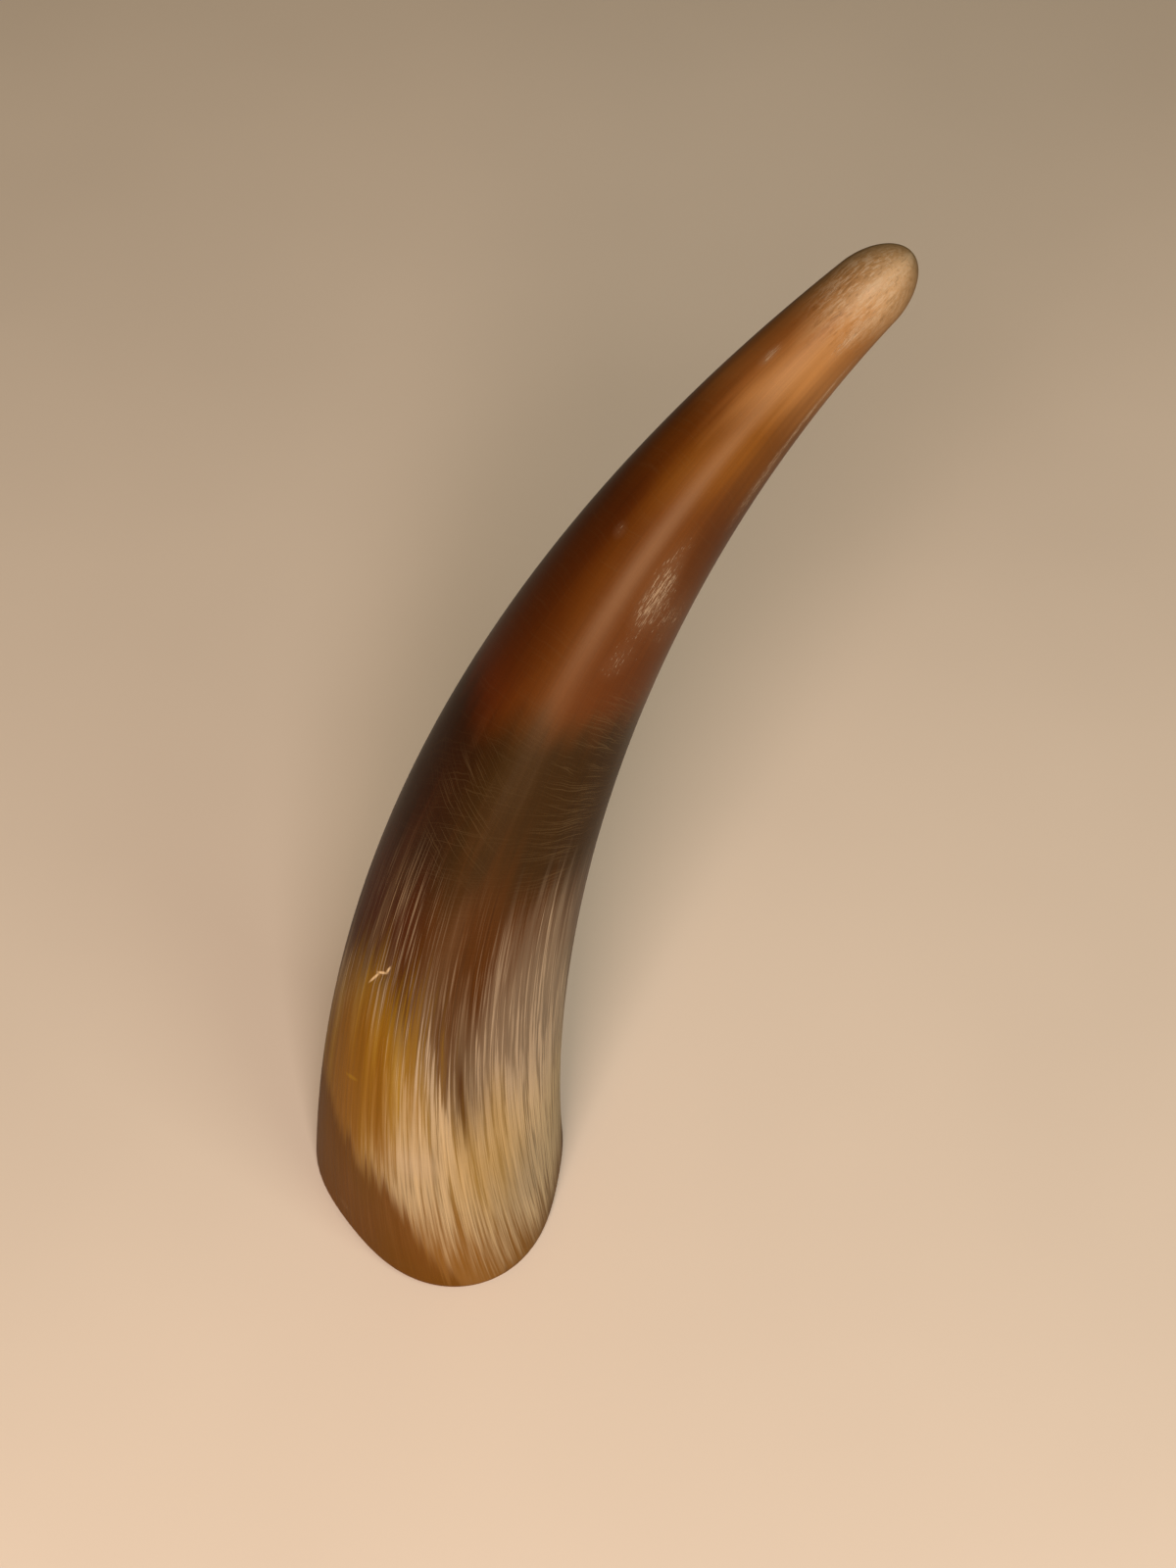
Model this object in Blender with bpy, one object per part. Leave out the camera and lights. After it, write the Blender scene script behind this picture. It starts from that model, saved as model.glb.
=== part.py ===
"""A water buffalo's horn, sawn off square and polished, standing on its cut end.

The horn grew as one piece, so it is one solid. Its spine rises straight up from the middle of the cut
and leans over towards +X as it climbs. The section is egg-shaped at the cut, with the narrow end towards
-Y, and becomes round towards the tip, which is worn to a blunt dome. The flat underside has a rounded rim.
"""

import math

import bmesh
import bpy
import numpy as np

# Driving dimensions, in metres and degrees.
SPINE_LENGTH = 0.230
TIP_LEAN = 48.0  # how far the spine leans from upright at the tip
EARLY_LEAN = 0.60  # the share of that lean that builds up evenly; the rest comes late
SIDE_TURN = -5.0  # how far the tip is turned out of the plane of the lean, towards -Y

BASE_RADIUS = 0.0255
TIP_RADIUS = 0.0055
TAPER_POWER = 1.47
BELLY = 0.0035  # extra radius halfway up

NARROWING = 0.060  # how oval the base is, as a share of its radius
NARROWING_ANGLE = 80.0
CORNERING = 0.064  # how three-cornered the base is, as a share of its radius
CORNERING_ANGLE = -96.0
ROUNDING_POWER = 4.3  # how quickly the section becomes round

RIM_RADIUS = 0.002
DOME_LENGTH = 0.0086

# How finely the surface is divided.
SIDES = 48
RIM_RINGS = 4
WALL_RINGS = 34
DOME_RINGS = 8
SPINE_STEPS = 400

HORN_COLOUR = (0.16, 0.07, 0.018, 1.0)
HORN_ROUGHNESS = 0.38


def spine():
    """Points and unit directions of the spine, at even steps from the base to the tip."""
    share = np.linspace(0.0, 1.0, SPINE_STEPS + 1)
    lean = math.radians(TIP_LEAN) * (EARLY_LEAN * share + (1.0 - EARLY_LEAN) * share**2)
    turn = math.radians(SIDE_TURN) * share**2
    directions = np.column_stack([np.sin(lean) * np.cos(turn), np.sin(lean) * np.sin(turn), np.cos(lean)])
    steps = 0.5 * (directions[1:] + directions[:-1]) * SPINE_LENGTH / SPINE_STEPS
    points = np.vstack([np.zeros(3), np.cumsum(steps, axis=0)])
    return share, points, directions


def ring_places():
    """Share of the spine, rim inset and dome factor of each ring, from the underside to just below the tip."""
    rim = np.linspace(0.0, math.pi / 2, RIM_RINGS, endpoint=False)
    dome = np.linspace(0.0, math.pi / 2, DOME_RINGS, endpoint=False)
    rim_end = RIM_RADIUS / SPINE_LENGTH
    dome_share = DOME_LENGTH / SPINE_LENGTH
    wall = np.linspace(rim_end, 1.0 - dome_share, WALL_RINGS, endpoint=False)
    share = np.concatenate([rim_end * (1.0 - np.cos(rim)), wall, 1.0 - dome_share * (1.0 - np.sin(dome))])
    inset = np.zeros(len(share))
    inset[:RIM_RINGS] = RIM_RADIUS * (1.0 - np.sin(rim))
    closing = np.ones(len(share))
    closing[-DOME_RINGS:] = np.cos(dome)
    return share, inset, closing


def wall_radius(share):
    """Mean radius of the wall: a power-law taper from base to tip, fuller halfway up."""
    taper = (BASE_RADIUS - TIP_RADIUS) * (1.0 - share) ** TAPER_POWER
    return TIP_RADIUS + taper + BELLY * np.sin(math.pi * share)


def section_factor(share, angle):
    """Radius round the section, against its mean: an oval and a three-cornered wave that fade with height."""
    oval = NARROWING * np.cos(2.0 * (angle - math.radians(NARROWING_ANGLE)))
    corners = CORNERING * np.cos(3.0 * (angle - math.radians(CORNERING_ANGLE)))
    return 1.0 + (1.0 - share) ** ROUNDING_POWER * (oval + corners)


def horn_rings():
    """Corner points of every ring, as an array of rings by sides by coordinates, and the tip's point."""
    share, inset, closing = ring_places()
    spine_share, spine_points, spine_directions = spine()
    centre = np.column_stack([np.interp(share, spine_share, spine_points[:, k]) for k in range(3)])
    along = np.column_stack([np.interp(share, spine_share, spine_directions[:, k]) for k in range(3)])
    along /= np.linalg.norm(along, axis=1, keepdims=True)
    across = np.array([0.0, 1.0, 0.0]) - along[:, 1:2] * along
    across /= np.linalg.norm(across, axis=1, keepdims=True)
    outward = np.cross(across, along)
    angle = np.arange(SIDES) * (2.0 * math.pi / SIDES)
    mean = (wall_radius(share) - inset) * closing
    radius = mean[:, None] * section_factor(share[:, None], angle[None, :])
    lean_part = np.cos(angle)[None, :, None] * outward[:, None, :]
    side_part = np.sin(angle)[None, :, None] * across[:, None, :]
    return centre[:, None, :] + radius[:, :, None] * (lean_part + side_part), spine_points[-1]


def make_horn_mesh():
    """A loft through the rings, closed by the flat underside and by a fan at the tip."""
    rings, tip = horn_rings()
    shape = bmesh.new()
    corners = [[shape.verts.new(point) for point in ring] for ring in rings]
    top = shape.verts.new(tip)
    shape.faces.new(corners[0][::-1])
    for lower, upper in zip(corners, corners[1:]):
        for side in range(SIDES):
            after = (side + 1) % SIDES
            shape.faces.new((lower[side], lower[after], upper[after], upper[side]))
    for side in range(SIDES):
        shape.faces.new((corners[-1][side], corners[-1][(side + 1) % SIDES], top))
    mesh = bpy.data.meshes.new("horn")
    shape.to_mesh(mesh)
    shape.free()
    mesh.shade_smooth()
    mesh.set_sharp_from_angle(angle=math.radians(40.0))
    return mesh


def make_horn_material():
    """Satin amber-brown horn."""
    material = bpy.data.materials.new("horn")
    material.use_nodes = True
    finish = material.node_tree.nodes["Principled BSDF"]
    finish.inputs["Base Color"].default_value = HORN_COLOUR
    finish.inputs["Roughness"].default_value = HORN_ROUGHNESS
    finish.inputs["Metallic"].default_value = 0.0
    return material


def main():
    for old in list(bpy.data.objects):
        bpy.data.objects.remove(old, do_unlink=True)
    collection = bpy.data.collections.new("buffalo_horn")
    bpy.context.scene.collection.children.link(collection)
    mesh = make_horn_mesh()
    mesh.materials.append(make_horn_material())
    collection.objects.link(bpy.data.objects.new("horn", mesh))


main()
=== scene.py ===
"""A polished water buffalo horn on a plain pale table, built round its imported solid."""

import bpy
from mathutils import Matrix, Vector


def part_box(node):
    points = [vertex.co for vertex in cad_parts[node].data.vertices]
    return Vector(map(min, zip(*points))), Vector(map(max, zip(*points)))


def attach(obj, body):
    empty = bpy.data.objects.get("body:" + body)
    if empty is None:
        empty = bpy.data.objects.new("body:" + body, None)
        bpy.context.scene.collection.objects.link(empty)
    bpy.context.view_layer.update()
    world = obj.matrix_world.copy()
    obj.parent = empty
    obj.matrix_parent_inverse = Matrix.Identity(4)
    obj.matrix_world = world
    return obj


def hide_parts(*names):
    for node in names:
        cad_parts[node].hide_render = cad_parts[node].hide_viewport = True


bl_info = {
    "name": "Buffalo Horn",
    "version": (1, 0, 0),
    "blender": (4, 5, 0),
    "location": "View3D > Sidebar > Horn",
    "description": "Makes a polished water buffalo horn and the table, lights and camera it is shown with",
    "category": "Add Mesh",
}

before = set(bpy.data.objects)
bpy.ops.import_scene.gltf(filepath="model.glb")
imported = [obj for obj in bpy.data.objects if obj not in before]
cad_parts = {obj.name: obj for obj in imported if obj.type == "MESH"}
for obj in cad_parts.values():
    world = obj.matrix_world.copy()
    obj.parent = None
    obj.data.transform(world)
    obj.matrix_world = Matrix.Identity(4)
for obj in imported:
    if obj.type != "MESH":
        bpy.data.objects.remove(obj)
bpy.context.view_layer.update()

import math

import bpy
import numpy as np
from mathutils import Vector

HORN_NODE = "horn"
HORN_LOW, HORN_HIGH = (np.array(corner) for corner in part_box(HORN_NODE))
FULL_TURN = 2.0 * math.pi

# Where the front of the horn is: the angle round the spine, in degrees from +X, of the side that is turned
# to the viewer. Every marking is placed by its angle from here and its height along the spine.
FRONT = -110.0
MM = 0.001
# Millimetres to a degree round the horn, about halfway up: it sets how a tilted marking leans.
MM_PER_DEGREE = 0.35
# The slew of the fibres near the cut: the share of the spine where it starts, how it grows, the angle round
# the spine where it is greatest, and its most.
SLEW_START = 0.46
SLEW_POWER = 1.3
SLEW_ANGLE = math.radians(FRONT + 40.0)
SLEW = math.radians(29.0)
# Depths of the sanding facets, the fibre ridges and the nick.
FACET_DEPTH = 0.00008
FIBRE_DEPTH = 0.00005
NICK_DEPTH = 0.00035
# The nick: its angle from the front, its height along the spine, the direction it runs in and its half sizes.
NICK_ANGLE = math.radians(-49.5)
NICK_HEIGHT = 0.0733
NICK_SIDEWAYS = 0.64
NICK_UPWARD = 0.77
NICK_HALF_LENGTH = 0.0034
NICK_HALF_WIDTH = 0.0007
# Degrees from the front where a marking of one side is gone, and where it starts to fade, before the back.
BACK = 176.0
BACK_FADE = 120.0
SIDE_FADE = 119.68
# Height that stands for the end of the colour ramp, in millimetres.
RAMP_HEIGHT = 240.0
# Dry flecks to a unit round the horn and to a millimetre along it.
FLECK_SCALE = (66.0, 66.0, 0.50)
# Strokes on the tip to a metre, along and across them, and the lean of the tip that they follow.
STROKES_ALONG = 520.0
STROKES_ACROSS = 2300.0
STROKE_LEAN = math.radians(48.0)


def colour_property(name, description, red, green, blue):
    """A colour property whose value is in linear light."""
    return bpy.props.FloatVectorProperty(
        name=name, description=description, subtype="COLOR", size=4, default=(red, green, blue, 1.0))


class HornSize(bpy.types.PropertyGroup):
    """The horn's shape, as the solid has it, and how finely its surface is divided."""

    spine_length: bpy.props.FloatProperty(
        name="Spine length", description="Length along the middle of the horn", default=0.230, unit="LENGTH")
    tip_lean: bpy.props.FloatProperty(
        name="Tip lean", description="Angle of the spine from upright at the tip",
        default=math.radians(48.0), subtype="ANGLE")
    early_lean: bpy.props.FloatProperty(
        name="Early lean", description="Share of the lean that builds up evenly with height",
        default=0.60, subtype="FACTOR")
    side_turn: bpy.props.FloatProperty(
        name="Side turn", description="Turn of the tip out of the plane of the lean",
        default=math.radians(-5.0), subtype="ANGLE")
    base_radius: bpy.props.FloatProperty(
        name="Base radius", description="Mean radius at the cut", default=0.0255, unit="LENGTH")
    tip_radius: bpy.props.FloatProperty(
        name="Tip radius", description="Radius that the taper runs down to", default=0.0055, unit="LENGTH")
    taper_power: bpy.props.FloatProperty(
        name="Taper power", description="How the radius falls with height", default=1.47)
    belly: bpy.props.FloatProperty(
        name="Belly", description="Extra radius halfway up", default=0.0035, unit="LENGTH")
    narrowing: bpy.props.FloatProperty(
        name="Narrowing", description="How oval the base is, as a share of its radius", default=0.060)
    narrowing_angle: bpy.props.FloatProperty(
        name="Narrowing angle", description="Direction of the oval's long axis",
        default=math.radians(80.0), subtype="ANGLE")
    cornering: bpy.props.FloatProperty(
        name="Cornering", description="How three-cornered the base is, as a share of its radius",
        default=0.064)
    cornering_angle: bpy.props.FloatProperty(
        name="Cornering angle", description="Direction of one corner",
        default=math.radians(-96.0), subtype="ANGLE")
    rounding_power: bpy.props.FloatProperty(
        name="Rounding power", description="How quickly the section becomes round", default=4.3)
    rim_radius: bpy.props.FloatProperty(
        name="Rim radius", description="Radius of the rounded lower edge", default=0.002, unit="LENGTH")
    dome_length: bpy.props.FloatProperty(
        name="Dome length", description="Length of the rounded tip", default=0.0086, unit="LENGTH")
    skin_gap: bpy.props.FloatProperty(
        name="Skin gap", description="How far the surface stays inside the solid's",
        default=0.00012, unit="LENGTH", precision=5)
    around: bpy.props.IntProperty(
        name="Points around", description="Points round each ring", default=400, min=24)
    along: bpy.props.IntProperty(
        name="Rings along", description="Rings along the wall", default=190, min=20)


class HornColours(bpy.types.PropertyGroup):
    """The horn's own colours, from the tip down to the cut."""

    clear: colour_property("Clear", "The clear, worn end of the tip", 0.266, 0.17, 0.088)
    tan: colour_property("Tan", "Translucent tan below the tip", 0.2, 0.094, 0.029)
    orange: colour_property("Orange", "Orange-brown a fifth of the way down", 0.102, 0.035, 0.0025)
    chestnut: colour_property("Chestnut", "Red-brown a third of the way down", 0.067, 0.019, 0.0008)
    russet: colour_property("Russet", "The reddest brown, above the dark belt", 0.052, 0.0108, 0.0001)
    olive: colour_property("Olive", "The dark olive-brown belt", 0.0195, 0.0078, 0.0002)
    umber: colour_property("Umber", "Red-brown between the first pale fibres", 0.043, 0.0132, 0.0005)
    ochre: colour_property("Ochre", "Dull yellow between the pale fibres near the cut", 0.17, 0.108, 0.036)
    haze: colour_property("Haze", "Greyish-mauve cloud behind the pale fibres", 0.104, 0.067, 0.036)
    ash: colour_property("Ash", "Pale greyish fibres", 0.235, 0.184, 0.128)
    cream: colour_property("Cream", "Pale warm fibres", 0.302, 0.232, 0.138)
    honey: colour_property("Honey", "Lighter strands in the golden patch", 0.245, 0.142, 0.007)
    gold: colour_property("Gold", "The clear golden patch", 0.134, 0.055, 0.0001)
    brown: colour_property("Brown", "Smooth brown beside the cut", 0.08, 0.031, 0.001)
    amber: colour_property("Amber", "Smooth amber rim round the cut", 0.13, 0.057, 0.008)
    scuff: colour_property("Scuff", "Dry whitish scuffs and scratches", 0.3, 0.23, 0.155)


class StageSetting(bpy.types.PropertyGroup):
    """The table, the lights and the camera."""

    table_colour: colour_property("Table colour", "Plain pale table top", 0.628, 0.502, 0.398)
    table_size: bpy.props.FloatProperty(
        name="Table size", description="Side of the table top", default=4.0, unit="LENGTH")
    camera_azimuth: bpy.props.FloatProperty(
        name="Camera azimuth", description="Direction of view: 0 looks along +Y",
        default=math.radians(-20.2), subtype="ANGLE")
    camera_elevation: bpy.props.FloatProperty(
        name="Camera elevation", description="How far the camera looks down",
        default=math.radians(50.1), subtype="ANGLE")
    camera_distance: bpy.props.FloatProperty(
        name="Camera distance", description="From the camera to the middle of the horn",
        default=0.4997, unit="LENGTH")
    aim_offset: bpy.props.FloatVectorProperty(
        name="Aim offset", description="From the middle of the horn's box to the point looked at",
        default=(0.0012, 0.0002, 0.0005), subtype="TRANSLATION")
    lens: bpy.props.FloatProperty(
        name="Lens", description="Focal length in millimetres on a 36 mm sensor", default=67.5)
    right_power: bpy.props.FloatProperty(
        name="Right light", description="Power of the soft light behind the camera, on its right",
        default=3.85)
    left_power: bpy.props.FloatProperty(
        name="Left light", description="Power of the soft light behind the camera, left of it", default=4.1)
    side_power: bpy.props.FloatProperty(
        name="Side light", description="Power of the soft light at the right", default=2.0)
    strip_power: bpy.props.FloatProperty(
        name="Strip light", description="Power of the low soft light that draws the highlight", default=8.5)
    ambient: bpy.props.FloatProperty(
        name="Ambient", description="Brightness of the even light from all round", default=0.118)


# ---------------------------------------------------------------- surfaces


def spine(size, steps=800):
    """The horn's centre line. Its direction leans from upright by tip_lean times a share that grows partly
    evenly and partly with the square of the height, and turns sideways with the square of the height. The
    points are the running sum of the directions."""
    share = np.linspace(0.0, 1.0, steps + 1)
    lean = size.tip_lean * (size.early_lean * share + (1.0 - size.early_lean) * share**2)
    turn = size.side_turn * share**2
    directions = np.column_stack([np.sin(lean) * np.cos(turn), np.sin(lean) * np.sin(turn), np.cos(lean)])
    hops = 0.5 * (directions[1:] + directions[:-1]) * size.spine_length / steps
    points = np.vstack([np.zeros(3), np.cumsum(hops, axis=0)])
    return share, points, directions


def wall_radius(size, share):
    """Mean radius at a share of the spine: a power-law taper from base to tip plus half a sine wave."""
    taper = (size.base_radius - size.tip_radius) * np.clip(1.0 - share, 0.0, 1.0) ** size.taper_power
    return size.tip_radius + taper + size.belly * np.sin(math.pi * share)


def section_factor(size, share, angle):
    """Radius round the section against its mean: a two-lobed and a three-lobed wave that fade with height."""
    oval = size.narrowing * np.cos(2.0 * (angle - size.narrowing_angle))
    corners = size.cornering * np.cos(3.0 * (angle - size.cornering_angle))
    return 1.0 + np.clip(1.0 - share, 0.0, 1.0) ** size.rounding_power * (oval + corners)


def ring_places(size):
    """Share of the spine, inset, closing factor and cut mask of each ring, from the middle of the underside
    to the tip. The underside's rings lie at the cut and close towards its middle, the rim is a quarter
    circle, and the dome's rings close as a quarter ellipse."""
    under = np.linspace(0.04, 1.0, 14, endpoint=False)
    rim = np.linspace(0.0, math.pi / 2, 9, endpoint=False)
    dome = np.linspace(0.0, math.pi / 2, 26, endpoint=False)
    rim_end = size.rim_radius / size.spine_length
    dome_share = size.dome_length / size.spine_length
    wall = np.linspace(0.0, 1.0, size.along, endpoint=False) ** 1.25
    wall = rim_end + (1.0 - dome_share - rim_end) * wall
    share = np.concatenate([
        np.zeros(len(under)), rim_end * (1.0 - np.cos(rim)), wall, 1.0 - dome_share * (1.0 - np.sin(dome))])
    inset = np.concatenate([
        np.full(len(under), size.rim_radius), size.rim_radius * (1.0 - np.sin(rim)),
        np.zeros(len(wall) + len(dome))])
    closing = np.concatenate([under, np.ones(len(rim) + len(wall)), np.cos(dome)])
    cut = np.concatenate([np.ones(len(under)), 1.0 - np.sin(rim), np.zeros(len(wall) + len(dome))])
    return share, inset, closing, cut


def fibre_turn(share, angle):
    """How far the fibres have drifted round the horn, in radians: they run straight above the middle and slew
    to the right towards the cut, most on the front's right and not at all on the far left."""
    drop = np.clip((SLEW_START - share) / SLEW_START, 0.0, 1.0) ** SLEW_POWER
    favour = 0.5 + 0.5 * np.cos(angle - SLEW_ANGLE)
    return SLEW * drop * favour


def periodic_ridges(angle, low, high, count, seed):
    """Ripple round the horn: a sum of cosines of whole-number frequencies between low and high, with seeded
    random phases, so it closes on itself. Its values lie roughly between -1 and 1."""
    chance = np.random.default_rng(seed)
    frequency = chance.integers(low, high, count)
    phase = chance.uniform(0.0, FULL_TURN, count)
    waves = np.cos(frequency[:, None, None] * angle[None] + phase[:, None, None])
    return waves.sum(axis=0) / math.sqrt(count)


def relief(size, share, angle):
    """Depth below the polished surface, in metres: shallow lengthwise facets left by hand sanding, finer
    fibre ridges that fade in towards the cut, and one torn nick."""
    fibre_angle = angle - fibre_turn(share, angle)
    facets = 0.5 + 0.25 * periodic_ridges(fibre_angle, 3, 9, 5, seed=11)
    fibres = 0.5 + 0.25 * periodic_ridges(fibre_angle, 60, 150, 12, seed=23)
    near_cut = np.clip((0.50 - share) / 0.22, 0.0, 1.0)
    near_cut = near_cut**2 * (3.0 - 2.0 * near_cut)
    height = share * size.spine_length
    from_front = np.angle(np.exp(1j * (angle - math.radians(FRONT))))
    beside = (from_front - NICK_ANGLE) * wall_radius(size, share)
    above = height - NICK_HEIGHT
    nick_along = NICK_SIDEWAYS * beside + NICK_UPWARD * above
    nick_across = NICK_SIDEWAYS * above - NICK_UPWARD * beside
    nick = np.exp(-(nick_along / NICK_HALF_LENGTH) ** 2 - (nick_across / NICK_HALF_WIDTH) ** 2)
    return FACET_DEPTH * facets + FIBRE_DEPTH * fibres * near_cut + NICK_DEPTH * nick


def horn_grid(size):
    """Points of every ring as an array of rings by columns by coordinates, with the share, angle and cut mask
    of each, and the tip point. A point is the spine's, plus the radius along the direction at its angle in
    the plane across the spine."""
    share, inset, closing, cut = ring_places(size)
    spine_share, spine_points, spine_directions = spine(size)
    centre = np.column_stack([np.interp(share, spine_share, spine_points[:, k]) for k in range(3)])
    along = np.column_stack([np.interp(share, spine_share, spine_directions[:, k]) for k in range(3)])
    along /= np.linalg.norm(along, axis=1, keepdims=True)
    across = np.array([0.0, 1.0, 0.0]) - along[:, 1:2] * along
    across /= np.linalg.norm(across, axis=1, keepdims=True)
    outward = np.cross(across, along)
    angle = np.arange(size.around) * (FULL_TURN / size.around)
    shares, angles = np.meshgrid(share, angle, indexing="ij")
    mean = (wall_radius(size, share) - inset)[:, None] * section_factor(size, shares, angles)
    depth = size.skin_gap + relief(size, shares, angles) * (1.0 - cut[:, None])
    radius = (mean - depth) * closing[:, None]
    lean_part = np.cos(angles)[:, :, None] * outward[:, None, :]
    side_part = np.sin(angles)[:, :, None] * across[:, None, :]
    points = centre[:, None, :] + radius[:, :, None] * (lean_part + side_part)
    tip = spine_points[-1] - size.skin_gap * spine_directions[-1]
    return points, shares, angles, np.broadcast_to(cut[:, None], shares.shape), tip


def make_horn_mesh(size):
    """Closes the grid of rings into one mesh: quads between neighbouring rings, the last column joined to the
    first, and a fan of triangles to the middle of the underside and to the tip."""
    points, shares, angles, cut, tip = horn_grid(size)
    rings, columns = shares.shape
    index = np.arange(rings * columns).reshape(rings, columns)
    after = np.roll(index, -1, axis=1)
    quads = np.stack([index[:-1], after[:-1], after[1:], index[1:]], axis=-1).reshape(-1, 4)
    bottom, top = rings * columns, rings * columns + 1
    under = np.column_stack([after[0], index[0], np.full(columns, bottom)])
    over = np.column_stack([index[-1], after[-1], np.full(columns, top)])
    middle = np.zeros(3)
    vertices = np.vstack([points.reshape(-1, 3), middle, tip])
    mesh = bpy.data.meshes.new("polished_horn")
    mesh.from_pydata(vertices.tolist(), [], quads.tolist() + under.tolist() + over.tolist())
    mesh.shade_smooth()

    flat_share = np.concatenate([shares.ravel(), [0.0, 1.0]])
    flat_angle = np.concatenate([angles.ravel(), [0.0, 0.0]])
    flat_cut = np.concatenate([cut.ravel(), [1.0, 0.0]])
    height = flat_share * size.spine_length / MM
    fibre_angle = flat_angle - fibre_turn(flat_share, flat_angle)
    add_attribute(mesh, "place", np.column_stack([np.cos(flat_angle), np.sin(flat_angle), height]))
    add_attribute(mesh, "fibre", np.column_stack([np.cos(fibre_angle), np.sin(fibre_angle), height]))
    add_attribute(mesh, "cut", flat_cut)
    return mesh


def add_attribute(mesh, name, values):
    """Stores one number or one vector at every vertex."""
    kind, field = ("FLOAT", "value") if values.ndim == 1 else ("FLOAT_VECTOR", "vector")
    layer = mesh.attributes.new(name, kind, "POINT")
    layer.data.foreach_set(field, np.ascontiguousarray(values, dtype=np.float32).ravel())


# ---------------------------------------------------------------- node helpers


class Board:
    """Adds nodes to one node tree. Most methods return an output socket and take sockets or plain values."""

    def __init__(self, tree):
        self.tree = tree

    def put(self, kind, inputs=(), **settings):
        node = self.tree.nodes.new(kind)
        for name, value in settings.items():
            setattr(node, name, value)
        for name, value in dict(inputs).items():
            if isinstance(value, bpy.types.NodeSocket):
                self.tree.links.new(value, node.inputs[name])
            elif value is not None:
                node.inputs[name].default_value = value
        return node

    def math(self, operation, first, second=None, third=None, clamp=False):
        values = {0: first, 1: second, 2: third}
        return self.put("ShaderNodeMath", values, operation=operation, use_clamp=clamp).outputs[0]

    def add(self, first, second):
        return self.math("ADD", first, second)

    def subtract(self, first, second):
        return self.math("SUBTRACT", first, second)

    def times(self, first, second):
        return self.math("MULTIPLY", first, second)

    def either(self, first, second):
        return self.math("MAXIMUM", first, second)

    def invert(self, value):
        return self.math("SUBTRACT", 1.0, value)

    def vary(self, value, amount):
        """Turns a value that runs from 0 to 1 into one that swings evenly either side of nothing."""
        return self.times(self.subtract(value, 0.5), amount)

    def vector(self, x, y, z):
        return self.put("ShaderNodeCombineXYZ", {"X": x, "Y": y, "Z": z}).outputs[0]

    def rise(self, value, start, end, low=0.0, high=1.0):
        """Smooth step from low to high as value goes from start to end. start may be above end."""
        values = {"Value": value, "From Min": start, "From Max": end, "To Min": low, "To Max": high}
        return self.put("ShaderNodeMapRange", values, interpolation_type="SMOOTHSTEP").outputs["Result"]

    def stretch(self, vector, scale, shift=(0.0, 0.0, 0.0)):
        values = {0: vector, 1: scale, 2: shift}
        return self.put("ShaderNodeVectorMath", values, operation="MULTIPLY_ADD").outputs[0]

    def noise(self, vector, scale=1.0, detail=2.0, roughness=0.5):
        values = {"Vector": vector, "Scale": scale, "Detail": detail, "Roughness": roughness}
        return self.put("ShaderNodeTexNoise", values, noise_dimensions="3D").outputs["Fac"]

    def blend(self, share, below, above, mode="MIX"):
        values = {"Factor": share, "A": below, "B": above}
        node = self.put("ShaderNodeMix", data_type="RGBA", blend_type=mode)
        sockets = {"Factor": node.inputs[0], "A": node.inputs[6], "B": node.inputs[7]}
        for name, value in values.items():
            if isinstance(value, bpy.types.NodeSocket):
                self.tree.links.new(value, sockets[name])
            else:
                sockets[name].default_value = value
        return node.outputs[2]

    def lay(self, base, colour, mask, strength, mode="MIX"):
        """Lays a colour over the base where the mask is."""
        return self.blend(self.times(mask, strength), base, colour, mode)

    def ramp(self, value, stops):
        """Colour ramp. Stops are pairs of a position and a colour."""
        node = self.put("ShaderNodeValToRGB", {"Fac": value})
        ramp = node.color_ramp
        ramp.interpolation = "EASE"
        while len(ramp.elements) < len(stops):
            ramp.elements.new(0.5)
        for element, (position, colour) in zip(ramp.elements, stops):
            element.position = position
            element.color = colour
        return node.outputs["Color"]

    def attribute(self, name, output="Vector"):
        node = self.put("ShaderNodeAttribute", attribute_name=name, attribute_type="GEOMETRY")
        return node.outputs[output]

    def group(self, tree, output, **inputs):
        node = self.put("ShaderNodeGroup", node_tree=tree)
        for name, value in inputs.items():
            socket = node.inputs[name.replace("_", " ")]
            if isinstance(value, bpy.types.NodeSocket):
                self.tree.links.new(value, socket)
            else:
                socket.default_value = value
        return node.outputs[output]


def new_group(name, inputs, outputs):
    """An empty shader group with float or vector sockets, and the board and sockets to fill it with."""
    tree = bpy.data.node_groups.new(name, "ShaderNodeTree")
    kinds = {"float": "NodeSocketFloat", "vector": "NodeSocketVector"}
    for title, kind in inputs.items():
        tree.interface.new_socket(title, in_out="INPUT", socket_type=kinds[kind])
    for title, kind in outputs.items():
        tree.interface.new_socket(title, in_out="OUTPUT", socket_type=kinds[kind])
    board = Board(tree)
    source = board.put("NodeGroupInput").outputs
    sink = board.put("NodeGroupOutput").inputs
    return tree, board, source, sink


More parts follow.
